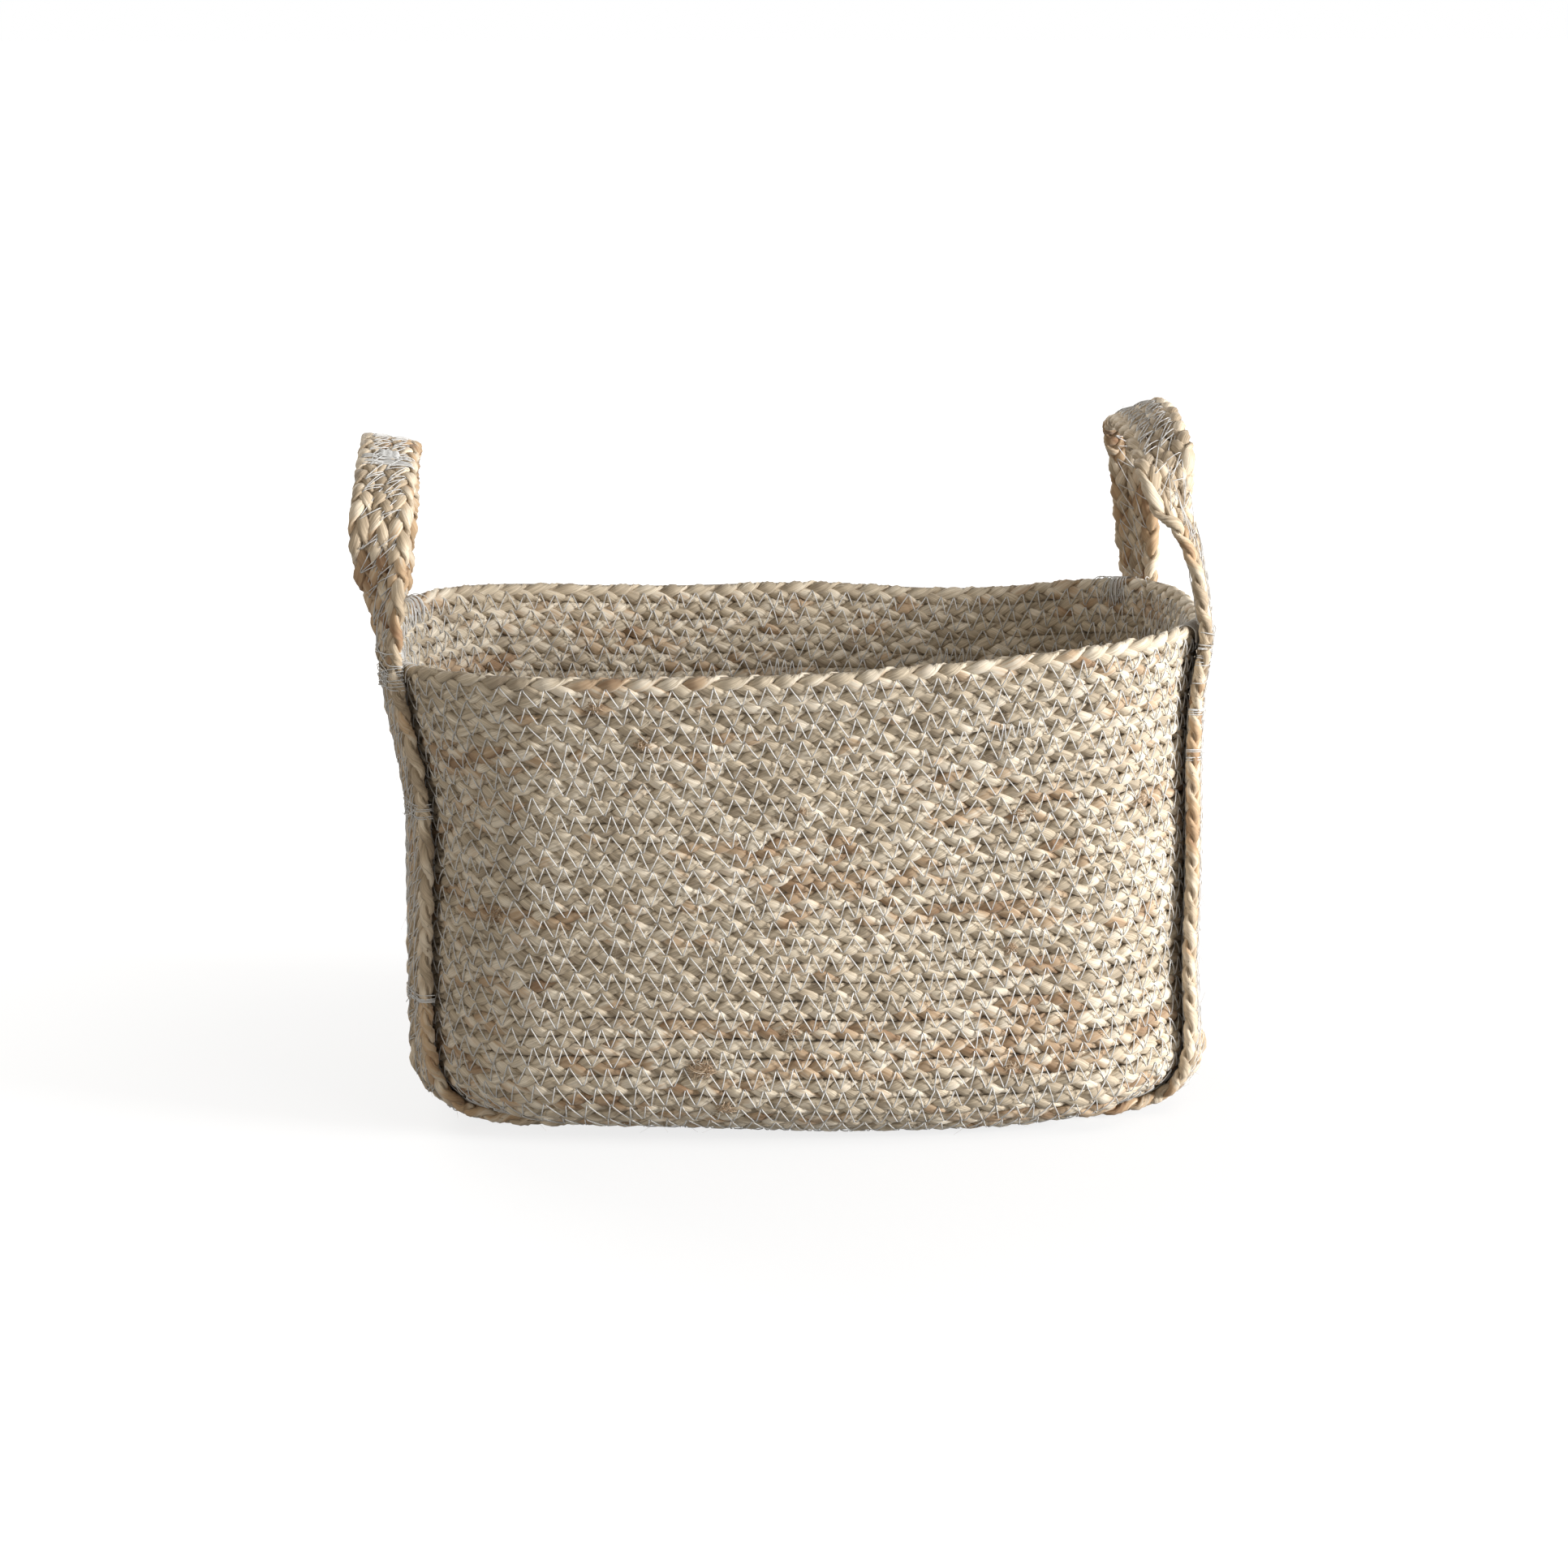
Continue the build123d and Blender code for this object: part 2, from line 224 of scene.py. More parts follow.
def soften(p):
    """Bends the even CAD shape into the one the soft basket has where it stands."""
    p = np.array(p, float)
    x, y, z = p[..., 0], p[..., 1], p[..., 2]
    angle = np.arctan2(y / RIM.y, x / RIM.x)
    high = np.clip(z / RIM.z, 0, 1.5)
    # The base sags where no strap is under it.
    free = 1 - smooth_step(np.abs(y), 0.034, 0.047) * (1 - smooth_step(np.abs(y), 0.083, 0.096))
    drop = (0.0050 - 0.0020 * hump(angle, -115, 22) + 0.0012 * hump(angle, -60, 30)) * free
    drop = drop * (1 - smooth_step(z, 0.012, 0.09))
    # The rows run up and down a little, and the wall goes in and out.
    wave = 0.0009 * np.sin(3 * angle + 17 * z + 1.0) + 0.0007 * np.sin(5 * angle - 31 * z)
    bulge = 0.0016 * np.sin(2 * angle + 9 * z + 0.6) + 0.0010 * np.sin(5 * angle + 24 * z + 2.0)
    bulge = bulge * smooth_step(z, 0.02, 0.08) * (1 - smooth_step(high, 0.97, 1.04))
    out = unit(np.stack([x / RIM.x ** 2, y / RIM.y ** 2], -1))
    wall = smooth_step((x / RIM.x) ** 2 + (y / RIM.y) ** 2, 0.35, 0.7)
    # The right end leans in, and the left end out.
    right_in = 0.0055 * smooth_step(z, 0.01, 0.07) + 0.0030 * smooth_step(z, 0.12, 0.21) - 0.0020
    left_out = 0.0042 * smooth_step(z, 0.13, 0.20) - 0.0010
    slide = -right_in * smooth_step(x, 0.09, 0.17) - left_out * smooth_step(-x, 0.10, 0.17)
    p[..., 0] = x + out[..., 0] * bulge * wall + slide
    p[..., 1] = y + out[..., 1] * bulge * wall
    rise = smooth_step(high, 0.1, 1.0) * rim_wave(angle)
    p[..., 2] = z + rise + wave * smooth_step(z, 0.03, 0.08) * (1 - smooth_step(high, 1.0, 1.1)) - drop
    return p


class Course:
    """A line that a braid follows: points, its direction, its width direction and its outside."""

    def __init__(self, points, out, length, closed):
        self.points, self.length, self.closed = points, length, closed
        if closed:
            ahead, behind = np.roll(points, -1, 0), np.roll(points, 1, 0)
        else:
            ahead = np.vstack([points[1:], points[-1:]])
            behind = np.vstack([points[:1], points[:-1]])
        self.along = unit(ahead - behind)
        self.out = unit(out - self.along * (out * self.along).sum(1, keepdims=True))
        self.up = np.cross(self.out, self.along)
        self.s = np.arange(len(points)) / (len(points) if closed else len(points) - 1) * length

    def at(self, s):
        """Point, along, up and out at distances along the line."""
        place = s / self.length * (len(self.points) if self.closed else len(self.points) - 1)
        low = np.floor(place).astype(int)
        part = (place - low)[:, None]
        n = len(self.points)
        a = low % n if self.closed else np.clip(low, 0, n - 1)
        b = (low + 1) % n if self.closed else np.clip(low + 1, 0, n - 1)
        mix = [v[a] * (1 - part) + v[b] * part for v in (self.points, self.along, self.up, self.out)]
        return mix[0], unit(mix[1]), unit(mix[2]), unit(mix[3])


def shell_course(reach, z, slope):
    """The line of one row: reach is its middle outside the base's edge, slope its lean from level."""
    oval_at = oval(EDGE[1].x + reach, EDGE[1].y + reach, RIM_CORNER - EDGE_INSET + reach,
                   RIM_SIDE - EDGE_INSET + reach, RIM_END - EDGE_INSET + reach, STEP)
    return course_from(oval_at, z, slope)


def course_from(oval_at, z, slope):
    """A closed course over a plan at a height, leaning by slope from level."""
    flat, normal, length = oval_at
    n = len(flat)
    points = np.column_stack([flat, np.full(n, z)])
    outward = np.column_stack([normal, np.zeros(n)])
    out = outward * math.sin(slope) + np.array([0, 0, -math.cos(slope)])
    return Course(soften(points), out, length, True)


def row_course(place):
    """The line through a place in the shell, counted in rows from the flat base."""
    edge_rows = len(EDGE_NODES)
    if place <= edge_rows:
        angle = place / edge_rows * math.pi / 2
        return shell_course(EDGE_BEND * math.sin(angle), WALL[0].z - EDGE_BEND * math.cos(angle), angle)
    z = WALL[0].z + (place - edge_rows) * ROW
    lean = math.atan(2 * FLARE * max(0, z - FLARE_START) / (RIM.z - FLARE_START) ** 2)
    return shell_course(EDGE_BEND + flare_at(z), z, math.pi / 2 - lean)


def base_course(turn):
    """The line of one turn of the base, counted from the middle."""
    half_y = turn * BASE_PITCH
    inset = EDGE[1].y - half_y
    corner = (RIM_CORNER - EDGE_INSET) * half_y / EDGE[1].y
    corner = max(corner, 0.98 * min(half_y, 0.006))
    shape = oval(EDGE[1].x - inset, half_y, corner, RIM_SIDE - EDGE_INSET - inset,
                 RIM_END - EDGE_INSET - inset, STEP)
    return course_from(shape, BASE_MIDDLE, 0.0)


# ---------------------------------------------------------------------------------------
# Tubes, which strands, threads and hairs are made of
# ---------------------------------------------------------------------------------------
class Tubes:
    """Gathers tubes and turns them into one mesh."""

    def __init__(self):
        self.tubes = []

    def add(self, rings, closed, material, fibre=None, tone=None, spot=False):
        """A spot is a tube too thin for a place of its own in the unit square."""
        self.tubes.append((rings.astype(np.float32), closed, material, fibre, tone, spot))

    def mesh(self, name, materials):
        points, corners, sizes, slots, fibres, tones, places = [], [], [], [], [], [], []
        first = 0
        layout = self.layout()
        for (rings, closed, material, fibre, tone, _), place in zip(self.tubes, layout):
            n, m = rings.shape[:2]
            points.append(rings.reshape(-1, 3))
            fibres.append(np.zeros((n * m, 3)) if fibre is None else fibre.reshape(-1, 3))
            tones.append(np.full(n * m, 0.5) if tone is None else tone.reshape(-1))
            i = np.arange(n if closed else n - 1)
            j = np.arange(m)
            a = first + (i[:, None] * m + j[None]).ravel()
            b = first + (i[:, None] * m + (j[None] + 1) % m).ravel()
            step = ((i + 1) % n)[:, None] * m
            c = first + (step + (j[None] + 1) % m).ravel()
            d = first + (step + j[None]).ravel()
            corners.append(np.stack([a, b, c, d], 1).ravel())
            sizes.append(np.full(len(a), 4))
            places.append(place[0].reshape(-1, 2))
            count = len(a)
            if not closed:
                corners.append(np.concatenate([first + j[::-1], first + (n - 1) * m + j]))
                sizes.append(np.array([m, m]))
                places.append(place[1])
                count += 2
            slots.append(np.full(count, material))
            first += n * m
        mesh = bpy.data.meshes.new(name)
        points = np.concatenate(points)
        corners = np.concatenate(corners).astype(np.int32)
        sizes = np.concatenate(sizes).astype(np.int32)
        mesh.vertices.add(len(points))
        mesh.vertices.foreach_set("co", points.ravel())
        mesh.loops.add(len(corners))
        mesh.loops.foreach_set("vertex_index", corners)
        mesh.polygons.add(len(sizes))
        starts = np.concatenate([[0], np.cumsum(sizes)[:-1]]).astype(np.int32)
        mesh.polygons.foreach_set("loop_start", starts)
        mesh.polygons.foreach_set("loop_total", sizes)
        mesh.polygons.foreach_set("material_index", np.concatenate(slots).astype(np.int32))
        mesh.polygons.foreach_set("use_smooth", np.ones(len(sizes), bool))
        mesh.attributes.new("fibre", "FLOAT_VECTOR", "POINT").data.foreach_set(
            "vector", np.concatenate(fibres).astype(np.float32).ravel())
        mesh.attributes.new("tone", "FLOAT", "POINT").data.foreach_set(
            "value", np.concatenate(tones).astype(np.float32))
        mesh.update(calc_edges=True)
        mesh.uv_layers.new(name="OFBake").data.foreach_set(
            "uv", np.concatenate(places).astype(np.float32).ravel())
        mesh.validate()
        for material in materials:
            mesh.materials.append(material)
        piece = bpy.data.objects.new(name, mesh)
        bpy.context.scene.collection.objects.link(piece)
        return piece

    def layout(self):
        """Where each tube lies in the unit square: thick tubes in rows, threads in one corner."""
        sized = []
        for rings, closed, _, _, _, spot in self.tubes:
            middle = rings.mean(1)
            gaps = np.linalg.norm(np.diff(middle, axis=0, append=middle[:1]), axis=1)
            around = np.linalg.norm(np.diff(rings[0], axis=0, append=rings[0, :1]), axis=1).sum()
            sized.append((gaps if closed else gaps[:-1], around, spot))
        wide = [(gaps, around) for gaps, around, spot in sized if not spot]
        density = 60.0
        while wide and sum(math.ceil(g.sum() * density / 0.97) * a * density for g, a in wide) > 0.95:
            density *= 0.97
        result, height = [], 0.01
        for (gaps, around, spot), tube in zip(sized, self.tubes):
            rings = tube[0]
            n, m = rings.shape[:2]
            k = len(gaps)
            place = np.zeros((k, m, 4, 2))
            if spot:
                place[:] = np.array([[0.985, 0.985], [0.985, 0.99], [0.99, 0.99], [0.99, 0.985]])
                end = np.array([0.987, 0.987]) + 0.002 * ring_of_points(m)
                result.append((place, np.concatenate([end, end])))
                continue
            start = np.concatenate([[0], np.cumsum(gaps)[:-1]])
            room = 0.97 / density
            line = np.floor(start / room)
            low = (start - line * room) * density + 0.005
            high = np.minimum(low + gaps * density, 0.985)
            tall = around * density
            side = (np.arange(m + 1) / m * 0.96 + 0.02) * tall
            base = height + line * tall
            place[..., 0, 0] = place[..., 1, 0] = low[:, None]
            place[..., 2, 0] = place[..., 3, 0] = high[:, None]
            place[..., 0, 1] = place[..., 3, 1] = base[:, None] + side[None, :-1]
            place[..., 1, 1] = place[..., 2, 1] = base[:, None] + side[None, 1:]
            ends = [np.array([low[at], base[at] + tall / 2]) + 0.002 * ring_of_points(m) for at in (0, -1)]
            result.append((place, np.concatenate(ends)))
            height += (line[-1] + 1) * tall
        return result


def ring_of_points(m):
    angle = 2 * np.pi * np.arange(m) / m
    return np.stack([np.cos(angle), np.sin(angle)], 1)


def thin_tube(tubes, points, radius, material, sides=THREAD_SIDES, tone=None, rng=None):
    """A round tube through points, tapered where radius is a list."""
    points = np.asarray(points, float)
    along = unit(np.gradient(points, axis=0))
    side = unit(np.cross(along, np.array([0.31, 0.52, 0.79])))
    other = np.cross(along, side)
    angle = 2 * np.pi * np.arange(sides) / sides
    radius = np.broadcast_to(radius, len(points))[:, None, None]
    rings = points[:, None] + radius * (np.cos(angle)[None, :, None] * side[:, None]
                                        + np.sin(angle)[None, :, None] * other[:, None])
    shade = np.full((len(points), sides), 0.5 if tone is None else tone)
    place = np.zeros((len(points), sides, 3))
    place[..., 0] = (0 if rng is None else rng.uniform(0, 9)) + np.linspace(0, 0.02, len(points))[:, None]
    tubes.add(rings, False, material, place, shade, spot=True)


# ---------------------------------------------------------------------------------------
# The three-strand braid
# ---------------------------------------------------------------------------------------
def fibre_place(course, rng, around):
    """Where each point of a strand lies along and across the fibre, for the material's streaks."""
    place = np.empty((len(course.s), len(around), 3))
    place[..., 0] = (course.s + rng.uniform(0, 9))[:, None]
    place[..., 1] = STREAK_RADIUS * np.cos(around)
    place[..., 2] = STREAK_RADIUS * np.sin(around)
    return place


def add_strand(tubes, course, rings, place, tone, span):
    """The whole closed strand, or the open span of it."""
    if span is None:
        tubes.add(rings, course.closed, 0, place, tone)
    else:
        tubes.add(rings[span], False, 0, place[span], tone[span])


def braid(tubes, course, rng, width=ROW, lobes=LOBES, tan=BODY_TAN, span=None, phase=None):
    """Three plaited strands of loose fibre along a course, or along a span of it."""
    t = course.s / course.length
    turns = max(1, round(course.length / lobes))
    phase = rng.random() if phase is None else phase
    pace = 2 * np.pi * (turns * t + phase) + 0.35 * wander(rng, t, turns / 4, course.closed)
    swell = 1 + 0.05 * wander(rng, t, turns / 2, course.closed)
    sway = 0.0003 * wander(rng, t, turns / 3, course.closed)
    dyed = patches(rng, course.length, 0.05, course.closed)(course.s)
    around = 2 * np.pi * np.arange(SIDES) / SIDES
    for strand in range(3):
        angle = pace + 2 * np.pi * strand / 3
        own = 1 + 0.07 * wander(rng, t, turns, course.closed)
        side = (width * 0.335 * swell * own) * (np.sin(angle) - 0.05 * np.sin(3 * angle)) + sway
        deep = THICK * 0.24 * np.sin(2 * angle)
        centre = course.points + side[:, None] * course.up + deep[:, None] * course.out
        tilt = math.pi / 2 * np.tanh(2.0 * np.cos(angle)) / math.tanh(2.0)
        flat = np.cos(tilt)[:, None] * course.up + np.sin(tilt)[:, None] * course.out
        if course.closed:
            along = unit(np.roll(centre, -1, 0) - np.roll(centre, 1, 0))
        else:
            along = unit(np.gradient(centre, axis=0))
        flat = unit(flat - along * (flat * along).sum(1, keepdims=True))
        wide = np.cross(along, flat)
        shown = np.abs(np.sin(2 * angle))
        half_wide = width * (0.275 + 0.08 * shown) * swell * own
        half_thick = THICK * (0.245 + 0.02 * shown) * own
        ridge = np.stack([0.05 * wander(rng, t, turns, course.closed) for _ in range(SIDES)], 1)
        rings = centre[:, None] + (1 + ridge)[..., None] * (
            (half_wide[:, None] * np.cos(around))[..., None] * wide[:, None]
            + (half_thick[:, None] * np.sin(around))[..., None] * flat[:, None])
        place = fibre_place(course, rng, around)
        tone = strand_tone(course, rng, around, tan, dyed)
        add_strand(tubes, course, rings, place, tone, span)


def filling(tubes, course, rng, width=ROW, span=None):
    """The loose fibre deep inside a braid, a flat core that closes the gaps between the strands; its dark
    tone is painted shade in those gaps.
    """
    around = 2 * np.pi * np.arange(SIDES) / SIDES
    wide = width * 0.53 * np.cos(around)
    deep = THICK * 0.13 * np.sin(around)
    # The strands' circles turn from out to up, and this one has to turn the same way.
    rings = (course.points[:, None] + wide[None, :, None] * course.up[:, None]
             - deep[None, :, None] * course.out[:, None])
    place = fibre_place(course, rng, around)
    # the core's dark tone is painted shade where it shows between the strands
    add_strand(tubes, course, rings, place, np.full(rings.shape[:2], FILLING_PAINTED_SHADE_TONE), span)


def strand_tone(course, rng, around, tan, dyed):
    """From 0, dull beige, through cream to 1, brown: bundles change along the strand."""
    s = course.s
    long = patches(rng, course.length, 0.055, course.closed)(s)
    short = patches(rng, course.length, 0.012, course.closed)(s)
    own = patches(rng, course.length, 0.024, course.closed)(s)
    tone = 0.06 + 0.30 * long + 0.40 * short
    brown = smooth_step(0.62 * dyed + 0.38 * own, 0.80 - tan, 1.0 - tan)
    tone = tone * (1 - brown) + (0.66 + 0.26 * short) * brown
    halves = patches(rng, course.length, 0.02, course.closed)(s) - 0.5
    part = halves[:, None] * np.cos(around + rng.uniform(0, 6))[None]
    return np.clip(tone[:, None] + 0.4 * part, 0, 1)


def zigzag(tubes, low, high, rng, side, depth):
    """Zigzag thread over the seam between two courses, on their outside (1) or inside (-1)."""
    count = max(3, round(low.length / STITCH))
    steps = rng.uniform(0.72, 1.28, count)
    if rng.random() < 0.4:
        where = rng.integers(0, count)
        steps[where:where + 5] *= 0.45
    starts = np.cumsum(steps) / steps.sum()
    t_high = starts - steps / steps.sum() * 0.5
    t_low = t_high + steps / steps.sum() * rng.uniform(0.52, 0.70, count)
    if not low.closed:
        t_low = np.clip(t_low, 0, 1)
        t_high = np.clip(t_high, 0, 1)
    ends = []
    for course, t, sign in ((high, t_high, -1), (low, t_low, 1)):
        point, _, up, out = course.at((t % 1.0 if course.closed else t) * course.length)
        inward = rng.normal(-0.02, 0.06, count)
        point = point + up * (sign * inward * ROW)[:, None]
        ends.append((point, out * side))
    points, lift = [], []
    for k in range(count * 2 - 1):
        a_point, a_out = ends[k % 2][0][k // 2], ends[k % 2][1][k // 2]
        b_point, b_out = ends[(k + 1) % 2][0][(k + 1) // 2], ends[(k + 1) % 2][1][(k + 1) // 2]
        for part, height in ((0.0, -0.0014), (0.13, 0.0001), (0.5, 0.0004), (0.87, 0.0001)):
            out = a_out * (1 - part) + b_out * part
            points.append(a_point * (1 - part) + b_point * part + out * (depth + height))
    thin_tube(tubes, np.array(points), THREAD, 1, rng=rng)


# ---------------------------------------------------------------------------------------
# Materials
# ---------------------------------------------------------------------------------------
def new_material(name):
    material = bpy.data.materials.new(name)
    material.use_nodes = True
    nodes = material.node_tree.nodes
    return material, nodes, material.node_tree.links, nodes["Principled BSDF"]


def scaled_noise(nodes, links, source, scale, detail):
    stretch = nodes.new("ShaderNodeVectorMath")
    stretch.operation = "MULTIPLY"
    stretch.inputs[1].default_value = scale
    links.new(source, stretch.inputs[0])
    noise = nodes.new("ShaderNodeTexNoise")
    noise.inputs["Scale"].default_value = 1.0
    noise.inputs["Detail"].default_value = detail
    noise.inputs["Roughness"].default_value = 0.6
    links.new(stretch.outputs[0], noise.inputs["Vector"])
    return noise.outputs["Fac"]


def math_node(nodes, links, operation, a, b=0.0, c=None):
    node = nodes.new("ShaderNodeMath")
    node.operation = operation
    for place, value in enumerate((a, b, c)):
        if value is None:
            continue
        if hasattr(value, "links"):
            links.new(value, node.inputs[place])
        else:
            node.inputs[place].default_value = value
    return node.outputs[0]


def fibre_material(name, colours):
    """Loose plant fibre: streaks run along the strand, and the tone attribute picks the colour."""
    material, nodes, links, shader = new_material(name)
    place = nodes.new("ShaderNodeAttribute")
    place.attribute_name = "fibre"
    tone = nodes.new("ShaderNodeAttribute")
    tone.attribute_name = "tone"
    fine = scaled_noise(nodes, links, place.outputs["Vector"], (70, 4200, 4200), 3)
    coarse = scaled_noise(nodes, links, place.outputs["Vector"], (45, 900, 900), 2)
    patch = math_node(nodes, links, "MULTIPLY_ADD", coarse, 0.5, -0.25)
    mixed = math_node(nodes, links, "ADD", tone.outputs["Fac"], patch)
    hair = math_node(nodes, links, "MULTIPLY_ADD", fine, 0.30, -0.15)
    mixed = math_node(nodes, links, "ADD", mixed, hair)
    ramp = nodes.new("ShaderNodeValToRGB")
    ramp.color_ramp.interpolation = "LINEAR"
    stops = ramp.color_ramp.elements
    while len(stops) < len(colours):
        stops.new(0.5)
    for stop, (place_in, colour) in zip(stops, colours):
        stop.position = place_in
        stop.color = (*colour, 1)
    links.new(mixed, ramp.inputs["Fac"])
    shade = math_node(nodes, links, "MULTIPLY_ADD", fine, STREAKS * 2, 1 - STREAKS)
    deep = math_node(nodes, links, "MULTIPLY_ADD", coarse, 0.3, 0.85)
    shade = math_node(nodes, links, "MULTIPLY", shade, deep)
    tint = nodes.new("ShaderNodeMix")
    tint.data_type = "RGBA"
    tint.blend_type = "MULTIPLY"
    tint.inputs["Factor"].default_value = 1.0
    links.new(ramp.outputs["Color"], tint.inputs["A"])
    grey = nodes.new("ShaderNodeCombineColor")
    for channel in ("Red", "Green", "Blue"):
        links.new(shade, grey.inputs[channel])
    links.new(grey.outputs["Color"], tint.inputs["B"])
    links.new(tint.outputs["Result"], shader.inputs["Base Color"])
    rough = math_node(nodes, links, "MULTIPLY_ADD", fine, 0.3, 0.5)
    links.new(rough, shader.inputs["Roughness"])
    height = math_node(nodes, links, "MULTIPLY_ADD", coarse, 0.6, fine)
    relief = nodes.new("ShaderNodeBump")
    relief.inputs["Strength"].default_value = RELIEF
    relief.inputs["Distance"].default_value = 0.0006
    links.new(height, relief.inputs["Height"])
    links.new(relief.outputs["Normal"], shader.inputs["Normal"])
    shader.inputs["Specular IOR Level"].default_value = 0.3
    shader.inputs["Sheen Weight"].default_value = 0.12
    shader.inputs["Sheen Roughness"].default_value = 0.5
    return material


def thread_material(name, colour):
    """Smooth twisted sewing thread."""
    material, nodes, links, shader = new_material(name)
    place = nodes.new("ShaderNodeAttribute")
    place.attribute_name = "fibre"
    shade = scaled_noise(nodes, links, place.outputs["Vector"], (400, 400, 400), 1)
    ramp = nodes.new("ShaderNodeValToRGB")
    ramp.color_ramp.elements[0].position = 0.3
    ramp.color_ramp.elements[0].color = (*[c * 0.82 for c in colour], 1)
    ramp.color_ramp.elements[1].position = 0.7
    ramp.color_ramp.elements[1].color = (*colour, 1)
    links.new(shade, ramp.inputs["Fac"])
    links.new(ramp.outputs["Color"], shader.inputs["Base Color"])
    shader.inputs["Roughness"].default_value = 0.42
    shader.inputs["Specular IOR Level"].default_value = 0.5
    return material


BODY_FIBRE = fibre_material("body_fibre", (
    (0.00, (0.27, 0.21, 0.145)), (0.20, (0.41, 0.335, 0.24)), (0.42, (0.56, 0.47, 0.345)),
    (0.60, (0.74, 0.66, 0.535)), (0.76, (0.50, 0.365, 0.235)), (1.00, (0.27, 0.165, 0.09))))
STRAP_FIBRE = fibre_material("strap_fibre", (
    (0.00, (0.25, 0.185, 0.12)), (0.22, (0.38, 0.295, 0.20)), (0.45, (0.54, 0.43, 0.30)),
    (0.60, (0.73, 0.63, 0.49)), (0.76, (0.53, 0.37, 0.22)), (1.00, (0.28, 0.16, 0.085))))
THREAD_GREY = thread_material("silver_thread", (0.64, 0.635, 0.62))


# ---------------------------------------------------------------------------------------
# The pieces
# ---------------------------------------------------------------------------------------
def finish_piece(tubes, name, nodes, materials, body="basket"):
    piece = tubes.mesh(name, materials)
    if body:
        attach(piece, body)
    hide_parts(*nodes)
    return piece


def hairs(tubes, course, rng, count, pitch, span=None):
    """Stray fibres that lift off a braid, mostly along it."""
    rings = np.arange(len(course.points)) if span is None else np.asarray(span)
    for _ in range(count):
        ring = rings[rng.integers(2, len(rings) - 2)]
        side = rng.choice((1, -1))
        along, up, out = course.along[ring], course.up[ring], course.out[ring] * side
        start = course.points[ring] + up * rng.uniform(-0.42, 0.42) * pitch + out * THICK * 0.36
        angle = rng.normal(0, 0.55) + (math.pi if rng.random() < 0.5 else 0)
        way = along * math.cos(angle) + up * math.sin(angle)
        curl = up * rng.normal(0, 0.5) + out * rng.uniform(-0.5, 0.25)
        length = rng.uniform(0.003, 0.010)
        t = np.linspace(0, 1, 5)[:, None]
        rise = rng.uniform(0.15, 0.55)
        line = start + way * length * t + out * length * rise * t + curl * length * 0.5 * t ** 2
        radius = rng.uniform(0.00004, 0.00008) * np.linspace(1, 0.4, 5)
        if line[:, 2].min() < FLOOR_ROOM:
            continue
        thin_tube(tubes, line, radius, 0, sides=3, tone=rng.uniform(0.2, 0.75), rng=rng)


def build_body():
    """Every row of the body, each with the thread that sews it to the row before."""
    places = [number - 0.5 for number in range(1, len(EDGE_NODES) + len(ROW_NODES) + 1)]
    names = BASE_NODES + EDGE_NODES + ROW_NODES
    courses = [base_course(turn + 0.5) for turn in range(len(BASE_NODES))]
    courses += [row_course(place) for place in places]
    for number, (name, course) in enumerate(zip(names, courses)):
        rng = np.random.default_rng(100 + number)
        tubes = Tubes()
        low = 1 - smooth_step(np.array(number), len(BASE_NODES) + 3, len(BASE_NODES) + 11)
        # rows near the base get extra tan: painted warm light, a warmer tone towards the base
        braid(tubes, course, rng, tan=BODY_TAN + LOW_PAINTED_WARMTH * float(low))
        filling(tubes, course, rng)
        if number:
            before = courses[number - 1]
            for side in (1, -1):
                zigzag(tubes, before, course, rng, side, THICK * 0.52)
        hairs(tubes, course, rng, int(HAIRS_PER_METRE * course.length), ROW)
        for x, z, size in KNOTS:
            if abs(z - course.points[:, 2].mean()) < ROW / 2 and name not in BASE_NODES:
                knot(tubes, course, x, size, np.random.default_rng(int(1000 * z)))
        if name == "rim_braid":
            for end in (-1, 1):
                for side in (-1, 1):
                    rim_wraps(tubes, course, end, side, rng)
        finish_piece(tubes, name + "_plait", [name], [BODY_FIBRE, THREAD_GREY])


def knot(tubes, course, x, size, rng):
    """A brown tuft where a new bundle of fibre was laid in, on the front of a row."""
    front = course.points[:, 1] < 0
    ring = int(np.argmin(np.abs(course.points[:, 0] - x) + (~front) * 9.0))
    along, up, out = course.along[ring], course.up[ring], course.out[ring]
    centre = course.points[ring] + out * THICK * 0.46
    for _ in range(int(90 * size)):
        t = np.linspace(-1, 1, 7)[:, None]
        angle = rng.normal(0.3, 0.8)
        way = along * math.cos(angle) + up * math.sin(angle)
        across = np.cross(way, out)
        start = centre + along * rng.normal(0, 0.0016) * size + up * rng.normal(0, 0.0011) * size
        length = rng.uniform(0.0012, 0.0034) * size
        lift = rng.uniform(0.0, 0.0013) * size
        bend = across * length * rng.normal(0, 0.4) * t ** 2
        line = start + way * length * t + out * lift * (1 - t ** 2) + bend
        radius = rng.uniform(0.00007, 0.00016)
        thin_tube(tubes, line, radius, 0, sides=4, tone=rng.uniform(0.62, 0.98), rng=rng)


